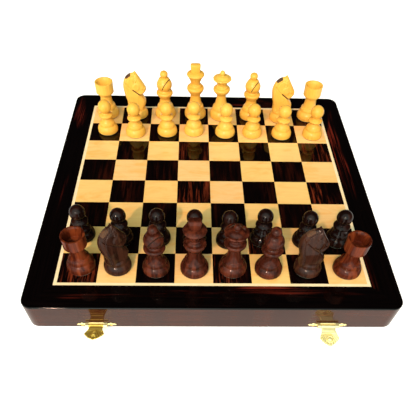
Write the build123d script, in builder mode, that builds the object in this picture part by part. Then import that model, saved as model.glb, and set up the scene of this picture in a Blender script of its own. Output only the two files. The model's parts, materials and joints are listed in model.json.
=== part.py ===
from build123d import *
import math
import os

# Folding wooden chess board with a felt-lined tray in each half, and its 32 men standing ready.
# Millimetres. Origin: middle of the seam, in the plane of the rims that the open board rests on.
# +X is to the right of the player of the dark men, +Y away from them, +Z up.

# ---------------------------------------------------------------- driving dimensions
SQUARE = 31.75
FILES = 8
STRING_WIDTH = 2.7  # pale stringing round the field
BORDER_WIDTH = 25.4  # stringing included
HEIGHT = 26.0
WALL = 9.0
CORNER_RADIUS = 10.0
EDGE_RADIUS = 0.8
VENEER = 1.2
STEEL = 0.5
PLYWOOD = 4.0
LINING = 1.0
RABBET = 3.0  # how far the panel is let into the walls
SEAM_CLEARANCE = 0.15  # each half stands this far from the fold plane
GLUE_LINE = 0.02

FIELD = FILES * SQUARE
BOARD = FIELD + 2 * BORDER_WIDTH
HALF_BOARD = BOARD / 2
FIELD_HALF = FIELD / 2
STRING_HALF = FIELD_HALF + STRING_WIDTH
TOP_OF_STEEL = HEIGHT - VENEER
TOP_OF_PANEL = TOP_OF_STEEL - STEEL
UNDER_PANEL = TOP_OF_PANEL - PLYWOOD
TRAY_SIDE = HALF_BOARD - WALL  # inner faces of the side walls
TRAY_NEAR = SEAM_CLEARANCE + WALL  # the tray's extent from the fold plane
TRAY_FAR = HALF_BOARD - WALL

# Butt hinges let into the rims at the seam: their axis lies in the rim plane.
HINGE_X = 90.0
HINGE_LENGTH = 16.0
HINGE_END_PLAY = 0.3
BARREL_RADIUS = 1.2
HINGE_PIN_RADIUS = 0.6
HINGE_PIN_FIT = 0.04
BARREL_NOTCH_RADIUS = 1.7
MIDDLE_KNUCKLE = 5.6
KNUCKLE_GAP = 0.2
LEAF_THICKNESS = 1.0
LEAF_START = 1.9
LEAF_END = 8.2
HINGE_SCREW_SPACING = 10.0
HINGE_SCREW_Y = 5.2
HINGE_SCREW_RADIUS = 0.8
HINGE_SCREW_LENGTH = 7.0
HINGE_SCREW_HEAD_RADIUS = 1.5
HINGE_SCREW_HEAD = 0.7

# Latches: an ornamental bar nailed to the front wall near its rim, and a shell-shaped hasp on a pin.
LATCH_X = 3 * SQUARE
LATCH_AXIS_Z = 4.6
LATCH_AXIS_OUT = 2.4  # from the wall's face
LATCH_BARREL_RADIUS = 1.4
LATCH_PIN_RADIUS = 0.7
LATCH_PIN_FIT = 0.05
PLATE_Z = 3.6
PLATE_THICKNESS = 0.7
PLATE_OUTLINE = [  # (from the middle, half height): a broad middle, a waist, a lobe, a bead and a point
    (6.0, 2.4),
    (9.2, 1.2),
    (10.8, 1.9),
    (12.0, 2.2),
    (13.0, 1.7),
    (13.6, 0.9),
    (14.4, 1.4),
    (16.5, 0.0),
]
KNUCKLE_END = 9.0  # from the middle
KNUCKLE_WEB = 1.8  # height of the block that joins a fixed knuckle to the plate
HASP_BARREL = 11.4
HASP_NECK_END = 4.4
HASP_WIDEST = 8.4
HASP_WIDEST_AT = 10.8
HASP_LENGTH = 18.0
HASP_EDGE_BOW = 0.8
HASP_THICKNESS = 1.2
RIGHT_HASP_DROOP = 12.0  # degrees below level
LEFT_HASP_DROOP = -20.0
NAIL_RADIUS = 0.5
NAIL_LENGTH = 6.0
NAIL_HEAD_RADIUS = 1.2
NAIL_HEAD = 0.5
NAIL_HEAD_TAPER = 35
LATCH_NAIL_OUT = 11.9  # from the middle of the plate

# Catch plates on the back wall: their knobs snap into the hasps' bosses when the board is folded.
CATCH_Z = 6.5
CATCH_WIDTH = 11.0
CATCH_ROUNDING = 1.5
CATCH_LOW = 3.0
CATCH_HIGH = 10.0
CATCH_THICKNESS = 0.8
CATCH_KNOB_RADIUS = 1.25
CATCH_KNOB_OUT = 2.9
CATCH_NAIL_SPACING = 7.6
BOSS_AT = LATCH_AXIS_Z + CATCH_Z  # from the hasp's axis
BOSS_RADIUS = 1.9
BOSS_HEIGHT = 0.7
BOSS_RECESS_RADIUS = 1.45
BOSS_RECESS_DEPTH = 1.3

# Men
FELT = 0.6
FELT_SHARE = 0.93  # felt radius over base radius
STANDING_GAP = 0.05
MAGNET_THICKNESS = 2.5
MAGNET_SHARE = 0.42  # magnet radius over base radius

ON_BASE = (Align.CENTER, Align.CENTER, Align.MIN)
ALONG_X = (0, 90, 0)
FRONT, BACK = -1, 1  # which side of the fold plane

os.makedirs("parts", exist_ok=True)


def write(shape, name):
    shape.label = name
    export_step(shape, f"parts/{name}.step")


def write_group(shapes, name):
    """Writes one node made of several separate solids."""
    write(Compound(children=shapes), name)


# ---------------------------------------------------------------- walls of the two halves
WALL_OUTLINES = {  # plan corners for the back half, from the mitres; mirrored for the front half
    "end_wall": [
        (-HALF_BOARD, HALF_BOARD),
        (HALF_BOARD, HALF_BOARD),
        (TRAY_SIDE, TRAY_FAR),
        (-TRAY_SIDE, TRAY_FAR),
    ],
    "seam_wall": [
        (-HALF_BOARD, SEAM_CLEARANCE),
        (HALF_BOARD, SEAM_CLEARANCE),
        (TRAY_SIDE, TRAY_NEAR),
        (-TRAY_SIDE, TRAY_NEAR),
    ],
    "left_wall": [
        (-HALF_BOARD, HALF_BOARD),
        (-HALF_BOARD, SEAM_CLEARANCE),
        (-TRAY_SIDE, TRAY_NEAR),
        (-TRAY_SIDE, TRAY_FAR),
    ],
    "right_wall": [
        (HALF_BOARD, HALF_BOARD),
        (HALF_BOARD, SEAM_CLEARANCE),
        (TRAY_SIDE, TRAY_NEAR),
        (TRAY_SIDE, TRAY_FAR),
    ],
}


def tray_block(side, margin, low, high, mode=Mode.ADD):
    """The tray's rectangle, grown by margin all round, between two heights."""
    width = 2 * (TRAY_SIDE + margin)
    depth = TRAY_FAR - TRAY_NEAR + 2 * margin
    with Locations((0, side * (TRAY_NEAR + TRAY_FAR) / 2, low)):
        Box(width, depth, high - low, align=ON_BASE, mode=mode)


def mitred_wall(side, outline):
    """A wall under the veneer: the part of the half's rounded plan inside the mitred outline."""
    with BuildPart() as wall:
        with BuildSketch() as plan:
            with Locations((0, side * (HALF_BOARD + SEAM_CLEARANCE) / 2)):
                Rectangle(BOARD, HALF_BOARD - SEAM_CLEARANCE)
            fillet(outer_corners(plan, side), CORNER_RADIUS)
            with BuildLine():
                Polyline(*[(x, side * y) for x, y in outline], close=True)
            make_face(mode=Mode.INTERSECT)
        extrude(amount=TOP_OF_STEEL)
        tray_block(side, 0, 0, TOP_OF_STEEL, Mode.SUBTRACT)
        tray_block(side, RABBET, UNDER_PANEL, TOP_OF_STEEL, Mode.SUBTRACT)
    return wall.part


def outer_corners(plan, side):
    """The two corners of a half's plan that are furthest from the fold plane."""
    far_first = sorted(plan.vertices(), key=lambda corner: -side * corner.Y)
    return far_first[:2]


def hinge_screw_places(side):
    dx = HINGE_SCREW_SPACING / 2
    return [(x + s * dx, side * HINGE_SCREW_Y, 0) for x in (-HINGE_X, HINGE_X) for s in (-1, 1)]


def make_seam_wall(side):
    """Wall at the fold, mortised for the hinge leaves and notched round their barrels."""
    with BuildPart() as wall:
        add(mitred_wall(side, WALL_OUTLINES["seam_wall"]))
        with Locations(*[Location((x, 0, 0), ALONG_X) for x in (-HINGE_X, HINGE_X)]):
            Cylinder(BARREL_NOTCH_RADIUS, HINGE_LENGTH + 2 * HINGE_END_PLAY, mode=Mode.SUBTRACT)
        with Locations(*[(x, side * LEAF_END / 2, 0) for x in (-HINGE_X, HINGE_X)]):
            Box(HINGE_LENGTH, LEAF_END, LEAF_THICKNESS, align=ON_BASE, mode=Mode.SUBTRACT)
        with Locations(*hinge_screw_places(side)):
            Cylinder(HINGE_SCREW_RADIUS, HINGE_SCREW_LENGTH, align=ON_BASE, mode=Mode.SUBTRACT)
    return wall.part


def make_end_wall(side, nail_places):
    """Wall furthest from the fold, with holes for the brass nails driven into its outer face."""
    into_wall = Plane(origin=(0, side * HALF_BOARD, 0), x_dir=(1, 0, 0), z_dir=(0, -side, 0))
    with BuildPart() as wall:
        add(mitred_wall(side, WALL_OUTLINES["end_wall"]))
        with BuildSketch(into_wall):
            with Locations(*[(x, side * z) for x, z in nail_places]):
                Circle(NAIL_RADIUS)
        extrude(amount=NAIL_LENGTH, mode=Mode.SUBTRACT)
    return wall.part


LATCH_NAILS = [(x + s * LATCH_NAIL_OUT, PLATE_Z) for x in (-LATCH_X, LATCH_X) for s in (-1, 1)]
CATCH_NAILS = [(x + s * CATCH_NAIL_SPACING / 2, CATCH_Z) for x in (-LATCH_X, LATCH_X) for s in (-1, 1)]

for half, side, nails in (("front", FRONT, LATCH_NAILS), ("back", BACK, CATCH_NAILS)):
    write(make_end_wall(side, nails), f"{half}_end_wall")
    write(make_seam_wall(side), f"{half}_seam_wall")
    for wall_name in ("left_wall", "right_wall"):
        write(mitred_wall(side, WALL_OUTLINES[wall_name]), f"{half}_{wall_name}")


# ---------------------------------------------------------------- panel, steel sheet and felt lining
def make_sheet(side, margin, low, high):
    with BuildPart() as sheet:
        tray_block(side, margin, low, high)
    return sheet.part


for half, side in (("front", FRONT), ("back", BACK)):
    write(make_sheet(side, RABBET, UNDER_PANEL, TOP_OF_PANEL), f"{half}_panel")
    write(make_sheet(side, RABBET, TOP_OF_PANEL, TOP_OF_STEEL), f"{half}_steel_sheet")
    write(make_sheet(side, 0, UNDER_PANEL - LINING, UNDER_PANEL), f"{half}_lining")


# ---------------------------------------------------------------- veneers of the playing surface
def square_places(side, dark):
    """Centres of one half's squares of one colour; the front left square of the board is dark."""
    places = []
    for file in range(FILES):
        for rank in range(FILES):
            is_dark = (file + rank) % 2 == 0
            on_this_half = (rank < FILES / 2) == (side == FRONT)
            if is_dark == dark and on_this_half:
                places.append(square_centre(file, rank))
    return places


def square_centre(file, rank):
    return ((file + 0.5) * SQUARE - FIELD_HALF, (rank + 0.5) * SQUARE - FIELD_HALF)


def trim_at_seam():
    Box(BOARD, 2 * SEAM_CLEARANCE, 3 * HEIGHT, mode=Mode.SUBTRACT)


def make_squares(side, dark):
    with BuildPart() as squares:
        with BuildSketch(Plane.XY.offset(TOP_OF_STEEL)):
            with Locations(*square_places(side, dark)):
                Rectangle(SQUARE - GLUE_LINE, SQUARE - GLUE_LINE)
        extrude(amount=VENEER)
        trim_at_seam()
    return squares.part


def make_stringing(side):
    """Pale line round the outer three sides of the half's field."""
    with BuildPart() as stringing:
        with BuildSketch(Plane.XY.offset(TOP_OF_STEEL)):
            with Locations((0, side * STRING_HALF / 2)):
                Rectangle(2 * STRING_HALF, STRING_HALF)
            with Locations((0, side * FIELD_HALF / 2)):
                Rectangle(FIELD, FIELD_HALF, mode=Mode.SUBTRACT)
        extrude(amount=VENEER)
        trim_at_seam()
    return stringing.part


def make_border(side):
    """Dark border veneer, flush with the walls and eased along its outer top edge."""
    with BuildPart() as border:
        with BuildSketch(Plane.XY.offset(TOP_OF_STEEL)) as plan:
            with Locations((0, side * (HALF_BOARD + SEAM_CLEARANCE) / 2)):
                Rectangle(BOARD, HALF_BOARD - SEAM_CLEARANCE)
            fillet(outer_corners(plan, side), CORNER_RADIUS)
        extrude(amount=VENEER)
        outer_edges = [
            edge
            for edge in border.faces().sort_by(Axis.Z)[-1].edges()
            if abs(edge.center().Y) > 2 * SEAM_CLEARANCE
        ]
        fillet(outer_edges, EDGE_RADIUS)
        with BuildSketch(Plane.XY.offset(TOP_OF_STEEL)):
            with Locations((0, side * (STRING_HALF + GLUE_LINE) / 2)):
                Rectangle(2 * (STRING_HALF + GLUE_LINE), STRING_HALF + GLUE_LINE)
        extrude(amount=VENEER, mode=Mode.SUBTRACT)
    return border.part


for half, side in (("front", FRONT), ("back", BACK)):
    write(make_squares(side, dark=True), f"{half}_dark_squares")
    write_group([make_squares(side, dark=False), make_stringing(side)], f"{half}_maple_inlay")
    write(make_border(side), f"{half}_border")


# ---------------------------------------------------------------- hinges at the seam
def make_hinge_leaf(side, x, knuckles, bore_radius):
    """One leaf with its knuckles, given as (offset along the pin, length)."""
    with BuildPart() as leaf:
        with Locations((x, side * (LEAF_START + LEAF_END) / 2, 0)):
            Box(HINGE_LENGTH, LEAF_END - LEAF_START, LEAF_THICKNESS, align=ON_BASE)
        for offset, length in knuckles:
            with Locations((x + offset, side * LEAF_START / 2, 0)):
                Box(length, LEAF_START, LEAF_THICKNESS, align=ON_BASE)
            with Locations(Location((x + offset, 0, 0), ALONG_X)):
                Cylinder(BARREL_RADIUS, length)
        with Locations(Location((x, 0, 0), ALONG_X)):
            Cylinder(bore_radius, HINGE_LENGTH, mode=Mode.SUBTRACT)
        with Locations(*hinge_screw_places(side)):
            Cone(
                HINGE_SCREW_HEAD_RADIUS,
                HINGE_SCREW_RADIUS,
                HINGE_SCREW_HEAD,
                align=ON_BASE,
                mode=Mode.SUBTRACT,
            )
            Cylinder(HINGE_SCREW_RADIUS, LEAF_THICKNESS, align=ON_BASE, mode=Mode.SUBTRACT)
    return leaf.part


def make_hinge_screws(side):
    with BuildPart() as screws:
        with Locations(*hinge_screw_places(side)):
            Cone(HINGE_SCREW_HEAD_RADIUS, HINGE_SCREW_RADIUS, HINGE_SCREW_HEAD, align=ON_BASE)
            Cylinder(HINGE_SCREW_RADIUS, HINGE_SCREW_LENGTH, align=ON_BASE)
    return screws.part


def make_hinge_pins():
    with BuildPart() as pins:
        with Locations(*[Location((x, 0, 0), ALONG_X) for x in (-HINGE_X, HINGE_X)]):
            Cylinder(HINGE_PIN_RADIUS, HINGE_LENGTH)
    return pins.part


outer_start = MIDDLE_KNUCKLE / 2 + KNUCKLE_GAP
outer_length = HINGE_LENGTH / 2 - outer_start
outer_knuckles = [(s * (outer_start + outer_length / 2), outer_length) for s in (-1, 1)]
middle_knuckle = [(0, MIDDLE_KNUCKLE)]
front_leaves = [
    make_hinge_leaf(FRONT, x, outer_knuckles, HINGE_PIN_RADIUS) for x in (-HINGE_X, HINGE_X)
]
back_leaves = [
    make_hinge_leaf(BACK, x, middle_knuckle, HINGE_PIN_RADIUS + HINGE_PIN_FIT)
    for x in (-HINGE_X, HINGE_X)
]
write_group(front_leaves, "front_hinge_leaves")
write_group(back_leaves, "back_hinge_leaves")


# ---------------------------------------------------------------- latches on the front wall
AXIS_Y = -HALF_BOARD - LATCH_AXIS_OUT


def make_latch_plate(x):
    """Ornamental bar flat on the wall, with two fixed knuckles that stand out on webs."""
    on_wall = Plane(origin=(x, -HALF_BOARD, PLATE_Z), x_dir=(1, 0, 0), z_dir=(0, -1, 0))
    knuckle_start = HASP_BARREL / 2 + KNUCKLE_GAP
    knuckle_length = KNUCKLE_END - knuckle_start
    upper_right = PLATE_OUTLINE
    lower_right = [(along, -half) for along, half in reversed(PLATE_OUTLINE[:-1])]
    lower_left = [(-along, -half) for along, half in PLATE_OUTLINE]
    upper_left = [(-along, half) for along, half in reversed(PLATE_OUTLINE[:-1])]
    with BuildPart() as plate:
        with BuildSketch(on_wall):
            with BuildLine():
                Polyline(*upper_right, *lower_right, *lower_left, *upper_left, close=True)
            make_face()
            with Locations(*[(s * LATCH_NAIL_OUT, 0) for s in (-1, 1)]):
                Circle(NAIL_RADIUS, mode=Mode.SUBTRACT)
        extrude(amount=PLATE_THICKNESS)
        for s in (-1, 1):
            middle = x + s * (knuckle_start + knuckle_length / 2)
            with Locations((middle, -HALF_BOARD - LATCH_AXIS_OUT / 2, LATCH_AXIS_Z)):
                Box(knuckle_length, LATCH_AXIS_OUT, KNUCKLE_WEB)
            with Locations(Location((middle, AXIS_Y, LATCH_AXIS_Z), ALONG_X)):
                Cylinder(LATCH_BARREL_RADIUS, knuckle_length)
        with Locations(Location((x, AXIS_Y, LATCH_AXIS_Z), ALONG_X)):
            Cylinder(LATCH_PIN_RADIUS, 2 * KNUCKLE_END, mode=Mode.SUBTRACT)
    return plate.part


def make_latch_pin(x):
    with BuildPart() as pin:
        with Locations(Location((x, AXIS_Y, LATCH_AXIS_Z), ALONG_X)):
            Cylinder(LATCH_PIN_RADIUS, 2 * KNUCKLE_END)
    return pin.part


def make_hasp(x, droop):
    """Swinging leaf drawn lying outward, then drooped: barrel, fan outline, and a boss over a recess."""
    angle = math.radians(droop)
    hung = Plane(
        origin=(x, AXIS_Y, LATCH_AXIS_Z),
        x_dir=(1, 0, 0),
        z_dir=(0, -math.sin(angle), math.cos(angle)),
    )
    neck = HASP_BARREL / 2
    with BuildPart() as hasp:
        with BuildSketch(hung.offset(-HASP_THICKNESS / 2)):
            with BuildLine():
                Polyline(
                    (HASP_WIDEST, -HASP_WIDEST_AT),
                    (neck, -HASP_NECK_END),
                    (neck, 0),
                    (-neck, 0),
                    (-neck, -HASP_NECK_END),
                    (-HASP_WIDEST, -HASP_WIDEST_AT),
                )
                SagittaArc((-HASP_WIDEST, -HASP_WIDEST_AT), (0, -HASP_LENGTH), -HASP_EDGE_BOW)
                SagittaArc((0, -HASP_LENGTH), (HASP_WIDEST, -HASP_WIDEST_AT), -HASP_EDGE_BOW)
            make_face()
        extrude(amount=HASP_THICKNESS)
        with BuildSketch(hung.offset(HASP_THICKNESS / 2)):
            with Locations((0, -BOSS_AT)):
                Circle(BOSS_RADIUS)
        extrude(amount=BOSS_HEIGHT)
        with BuildSketch(hung.offset(-HASP_THICKNESS / 2)):
            with Locations((0, -BOSS_AT)):
                Circle(BOSS_RECESS_RADIUS)
        extrude(amount=BOSS_RECESS_DEPTH, mode=Mode.SUBTRACT)
        with Locations(Location((x, AXIS_Y, LATCH_AXIS_Z), ALONG_X)):
            Cylinder(LATCH_BARREL_RADIUS, HASP_BARREL)
            Cylinder(LATCH_PIN_RADIUS + LATCH_PIN_FIT, HASP_BARREL, mode=Mode.SUBTRACT)
    return hasp.part


def make_catch_plate(x):
    """Plate with a round knob, on the back wall."""
    on_wall = Plane(origin=(x, HALF_BOARD, 0), x_dir=(-1, 0, 0), z_dir=(0, 1, 0))
    with BuildPart() as plate:
        with BuildSketch(on_wall):
            with Locations((0, (CATCH_LOW + CATCH_HIGH) / 2)):
                RectangleRounded(CATCH_WIDTH, CATCH_HIGH - CATCH_LOW, CATCH_ROUNDING)
            with Locations(*[(s * CATCH_NAIL_SPACING / 2, CATCH_Z) for s in (-1, 1)]):
                Circle(NAIL_RADIUS, mode=Mode.SUBTRACT)
        extrude(amount=CATCH_THICKNESS)
        with BuildSketch(on_wall):
            with Locations((0, CATCH_Z)):
                Circle(CATCH_KNOB_RADIUS)
        extrude(amount=CATCH_KNOB_OUT)
    return plate.part


def make_wall_nail(side, x, z, plate_thickness):
    """Nail through a plate on an end wall: shank in the wood, domed head on the plate."""
    outward = Plane(origin=(x, side * HALF_BOARD, z), x_dir=(1, 0, 0), z_dir=(0, side, 0))
    with BuildPart() as nail:
        with BuildSketch(outward.offset(-NAIL_LENGTH)):
            Circle(NAIL_RADIUS)
        extrude(amount=NAIL_LENGTH + plate_thickness)
        with BuildSketch(outward.offset(plate_thickness)):
            Circle(NAIL_HEAD_RADIUS)
        extrude(amount=NAIL_HEAD, taper=NAIL_HEAD_TAPER)
    return nail.part


latch_nails = [make_wall_nail(FRONT, x, z, PLATE_THICKNESS) for x, z in LATCH_NAILS]
catch_nails = [make_wall_nail(BACK, x, z, CATCH_THICKNESS) for x, z in CATCH_NAILS]
latch_pins = [make_latch_pin(x) for x in (-LATCH_X, LATCH_X)]
write_group([make_latch_plate(x) for x in (-LATCH_X, LATCH_X)], "latch_plates")
write_group([make_catch_plate(x) for x in (-LATCH_X, LATCH_X)], "catch_plates")
write(make_hasp(-LATCH_X, LEFT_HASP_DROOP), "left_hasp")
write(make_hasp(LATCH_X, RIGHT_HASP_DROOP), "right_hasp")
write_group(
    [make_hinge_screws(FRONT), make_hinge_pins(), *latch_pins, *latch_nails],
    "front_screws_and_pins",
)
write_group([make_hinge_screws(BACK), *catch_nails], "back_screws")


# ---------------------------------------------------------------- men
# A turned profile is a list of stations (radius, height, bow): bow is how far the run to the next
# station bulges out (+) or in (-) from a straight line. Heights are from the square's surface.
def turned_base(radius, neck_radius, neck_height):
    """Foot, rounded plinth, ledge and the flare up to the neck, common to every man."""
    return [
        (FELT_SHARE * radius, FELT, 0),
        (0.98 * radius, 0.12 * radius, 0),
        (0.95 * radius, 0.16 * radius, 0),
        (0.98 * radius, 0.20 * radius, 0.06 * radius),
        (0.79 * radius, 0.70 * radius, 0),
        (0.75 * radius, 0.73 * radius, 0.03 * radius),
        (0.68 * radius, 1.06 * radius, 0),
        (0.60 * radius, 1.10 * radius, -0.04 * (neck_height - radius)),
        (neck_radius, neck_height, 0),
    ]


KING_BASE, QUEEN_BASE, BISHOP_BASE, KNIGHT_BASE, ROOK_BASE, PAWN_BASE = 12.1, 12.0, 11.7, 11.7, 12.0, 10.8

KING = turned_base(KING_BASE, 5.2, 24.6) + [
    (8.0, 28.8, 0),
    (8.6, 29.8, 0.6),
    (8.4, 33.0, 0),
    (6.6, 33.4, 0.3),
    (6.4, 35.0, 0),
    (5.0, 35.6, -0.3),
    (5.0, 37.6, -0.3),
    (8.2, 44.4, 0.2),
    (9.3, 45.8, 0),
    (8.9, 46.6, 0.5),
    (3.8, 48.2, 0),
]
QUEEN = turned_base(QUEEN_BASE, 4.8, 25.3) + [
    (8.0, 28.8, 0),
    (8.6, 29.8, 0.5),
    (8.4, 32.6, 0),
    (6.6, 33.0, 0.3),
    (6.4, 34.4, 0),
    (5.2, 35.0, -0.3),
    (5.3, 37.2, -0.3),
    (8.4, 41.2, 0.2),
    (9.8, 42.4, 0),
    (9.3, 43.2, -0.3),
    (6.6, 43.9, 0.5),
    (2.3, 45.4, 0),
    (2.0, 45.8, 1.1),
    (1.2, 50.2, 0),
]
BISHOP = turned_base(BISHOP_BASE, 5.2, 19.8) + [
    (7.6, 23.4, 0),
    (8.3, 24.4, 0.6),
    (8.1, 27.2, 0),
    (6.2, 27.6, 0.2),
    (5.8, 29.0, 0),
    (5.5, 29.3, 2.2),
    (6.3, 39.0, 0.8),
    (2.8, 42.0, 0),
    (3.0, 42.6, 1.8),
    (1.6, 48.4, 0),
]
ROOK = turned_base(ROOK_BASE, 5.9, 23.0) + [
    (6.9, 23.6, 0.3),
    (7.0, 25.2, 0),
    (8.6, 25.8, 0.4),
    (9.3, 27.4, 0),
    (9.5, 37.2, 0),
    (8.0, 37.2, 0),
    (6.3, 33.6, 0),
    (5.8, 29.4, 0),
]
PAWN = turned_base(PAWN_BASE, 4.2, 16.4) + [
    (6.8, 17.2, 0.5),
    (6.7, 19.4, 0),
    (4.0, 20.4, -0.2),
    (3.6, 21.6, 0),
]
PAWN_HEAD_RADIUS = 6.7
PAWN_HEAD_HEIGHT = 27.3
KNIGHT_PLINTH = turned_base(KNIGHT_BASE, 6.6, 12.6)

FINIAL_WIDTH = 10.6
FINIAL_DEPTH = 6.4
FINIAL_HEIGHT = 8.8
FINIAL_LOW = 47.4
FINIAL_ROUNDING = 1.6

CORONET_NOTCHES = 8
CORONET_NOTCH_RADIUS = 1.5
CORONET_NOTCH_AT = 10.5
CORONET_LOW = 40.9
CORONET_HIGH = 44.4

MITRE_CUT = (0.7, 20.0, 11.0)  # width, run through the head and length of the saw cut
MITRE_CUT_OUT = 4.2  # its middle's distance from the axis
MITRE_CUT_HEIGHT = 37.2
MITRE_CUT_TILT = 24.0  # from upright, leaning outward

# Knight's head, as (forward, height) points of a profile with its muzzle towards +X.
KNIGHT_THROAT = [(8.6, 10.6), (10.4, 15.4), (9.8, 19.4), (6.0, 24.6)]
KNIGHT_JAW = [(6.0, 24.6), (8.6, 26.0), (11.2, 29.0), (11.4, 32.0)]
KNIGHT_FACE = [(11.4, 32.0), (8.6, 36.8), (5.0, 42.6), (2.6, 46.4)]
KNIGHT_EAR_TIP = (1.2, 50.0)
KNIGHT_MANE = [
    (-0.8, 47.2),
    (-6.0, 45.4),
    (-10.6, 40.6),
    (-12.6, 33.2),
    (-11.6, 25.0),
    (-9.8, 18.0),
    (-9.6, 10.6),
]
KNIGHT_HALF_WIDTHS = [(6.6, 10.6), (6.4, 24.0), (4.2, 40.0), (2.6, 50.0)]  # (half width, height)


def upright(x, y, turn=0.0):
    """Vertical plane through a man's axis, its x along the man's forward direction."""
    angle = math.radians(turn)
    return Plane(
        origin=(x, y, HEIGHT + STANDING_GAP),
        x_dir=(math.cos(angle), math.sin(angle), 0),
        z_dir=(math.sin(angle), -math.cos(angle), 0),
    )


def turned_body(x, y, stations, base_radius):
    """Solid of revolution through the stations, recessed underneath for its magnet."""
    with BuildPart() as body:
        with BuildSketch(upright(x, y)):
            with BuildLine():
                first_radius, first_height, _ = stations[0]
                Line((0, first_height), (first_radius, first_height))
                for (radius, height, bow), (next_radius, next_height, _) in zip(stations, stations[1:]):
                    if bow:
                        SagittaArc((radius, height), (next_radius, next_height), -bow)
                    else:
                        Line((radius, height), (next_radius, next_height))
                last_radius, last_height, _ = stations[-1]
                Polyline((last_radius, last_height), (0, last_height), (0, first_height))
            make_face()
        revolve(axis=Axis((x, y, 0), (0, 0, 1)))
        with Locations((x, y, HEIGHT + STANDING_GAP + FELT)):
            magnet_radius = MAGNET_SHARE * base_radius
            Cylinder(magnet_radius, MAGNET_THICKNESS, align=ON_BASE, mode=Mode.SUBTRACT)
    return body.part


def king_body(x, y, turn):
    """Turned body with a broad rounded block for its finial."""
    with BuildPart() as body:
        add(turned_body(x, y, KING, KING_BASE))
        with BuildPart(mode=Mode.PRIVATE) as finial:
            with Locations((x, y, HEIGHT + STANDING_GAP + FINIAL_LOW)):
                Box(FINIAL_WIDTH, FINIAL_DEPTH, FINIAL_HEIGHT, align=ON_BASE)
            fillet(finial.edges(), FINIAL_ROUNDING)
        add(finial.part)
    return body.part


def queen_body(x, y, turn):
    """Turned body with a scalloped coronet."""
    with BuildPart() as body:
        add(turned_body(x, y, QUEEN, QUEEN_BASE))
        with Locations((x, y, HEIGHT + STANDING_GAP + CORONET_LOW)):
            with PolarLocations(CORONET_NOTCH_AT, CORONET_NOTCHES, start_angle=turn):
                Cylinder(
                    CORONET_NOTCH_RADIUS,
                    CORONET_HIGH - CORONET_LOW,
                    align=ON_BASE,
                    mode=Mode.SUBTRACT,
                )
    return body.part


def bishop_body(x, y, turn):
    """Turned body with the slanting saw cut of a mitre."""
    facing = upright(x, y, turn)
    on_square = Plane(facing.origin, x_dir=facing.x_dir, z_dir=(0, 0, 1))
    cut = Location((MITRE_CUT_OUT, 0, MITRE_CUT_HEIGHT), (0, MITRE_CUT_TILT, 0))
    with BuildPart() as body:
        add(turned_body(x, y, BISHOP, BISHOP_BASE))
        with Locations(on_square.location * cut):
            Box(*MITRE_CUT, mode=Mode.SUBTRACT)
    return body.part


def rook_body(x, y, turn):
    """Turned body with a stepped cup; it looks the same however it is turned."""
    return turned_body(x, y, ROOK, ROOK_BASE)


def pawn_body(x, y, turn):
    """Turned body with a ball head; it looks the same however it is turned."""
    with BuildPart() as body:
        add(turned_body(x, y, PAWN, PAWN_BASE))
        with Locations((x, y, HEIGHT + STANDING_GAP + PAWN_HEAD_HEIGHT)):
            Sphere(PAWN_HEAD_RADIUS)
    return body.part


def knight_body(x, y, turn):
    """Turned plinth with a carved horse's head: a side profile narrowed by a front profile."""
    side_on = upright(x, y, turn)
    front_on = upright(x, y, turn + 90)
    with BuildPart(mode=Mode.PRIVATE) as head:
        with BuildSketch(side_on):
            with BuildLine():
                Spline(*KNIGHT_THROAT)
                Spline(*KNIGHT_JAW)
                Spline(*KNIGHT_FACE)
                Polyline(KNIGHT_FACE[-1], KNIGHT_EAR_TIP, KNIGHT_MANE[0])
                Spline(*KNIGHT_MANE)
                Line(KNIGHT_MANE[-1], KNIGHT_THROAT[0])
            make_face()
        extrude(amount=KNIGHT_HALF_WIDTHS[0][0], both=True)
        with BuildSketch(front_on):
            with BuildLine():
                right_side = [(half_width, height) for half_width, height in KNIGHT_HALF_WIDTHS]
                left_side = [(-half_width, height) for half_width, height in reversed(KNIGHT_HALF_WIDTHS)]
                Polyline(*right_side, *left_side, close=True)
            make_face()
        extrude(amount=KNIGHT_BASE * 2, both=True, mode=Mode.INTERSECT)
    with BuildPart() as body:
        add(turned_body(x, y, KNIGHT_PLINTH, KNIGHT_BASE))
        add(head.part)
    return body.part


def magnet(x, y, base_radius):
    with BuildPart() as disc:
        with Locations((x, y, HEIGHT + STANDING_GAP + FELT)):
            Cylinder(MAGNET_SHARE * base_radius, MAGNET_THICKNESS, align=ON_BASE)
    return disc.part


def felt_pad(x, y, base_radius):
    with BuildPart() as pad:
        with Locations((x, y, HEIGHT + STANDING_GAP)):
            Cylinder(FELT_SHARE * base_radius, FELT, align=ON_BASE)
    return pad.part


MAKERS = {
    "king": (king_body, KING_BASE),
    "queen": (queen_body, QUEEN_BASE),
    "bishop": (bishop_body, BISHOP_BASE),
    "knight": (knight_body, KNIGHT_BASE),
    "rook": (rook_body, ROOK_BASE),
    "pawn": (pawn_body, PAWN_BASE),
}
BACK_RANK = [
    "rook_left",
    "knight_left",
    "bishop_left",
    "king",
    "queen",
    "bishop_right",
    "knight_right",
    "rook_right",
]
PAWNS = [f"pawn_{number}" for number in range(1, FILES + 1)]
# Where each man stands, as (right, away) from its square's centre: hands never centre them exactly.
DARK_RANK_SET = [(2, 1.5), (0, 1.5), (0.5, -0.5), (0.5, -1), (0.5, 0), (-1.5, -1.5), (-1, 0), (1, -1)]
DARK_PAWNS_SET = [(-1.5, 4.5), (0.5, 1), (1, 1), (0.5, 0), (-2, -1), (-4, 1.5), (1.5, -0.5), (-1, 1)]
LIGHT_PAWNS_SET = [(2.5, 2.5), (1, -2), (3, 0.5), (0, 2), (2, -0.5), (-0.5, -0.5), (-0.5, -2), (1.5, -2)]
LIGHT_RANK_SET = [(-0.5, 1.5), (0.5, 1.5), (0, 2.5), (1.5, 2.5), (-2, 1.5), (-0.5, 1.5), (1, -2), (1.5, 1.5)]
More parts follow.
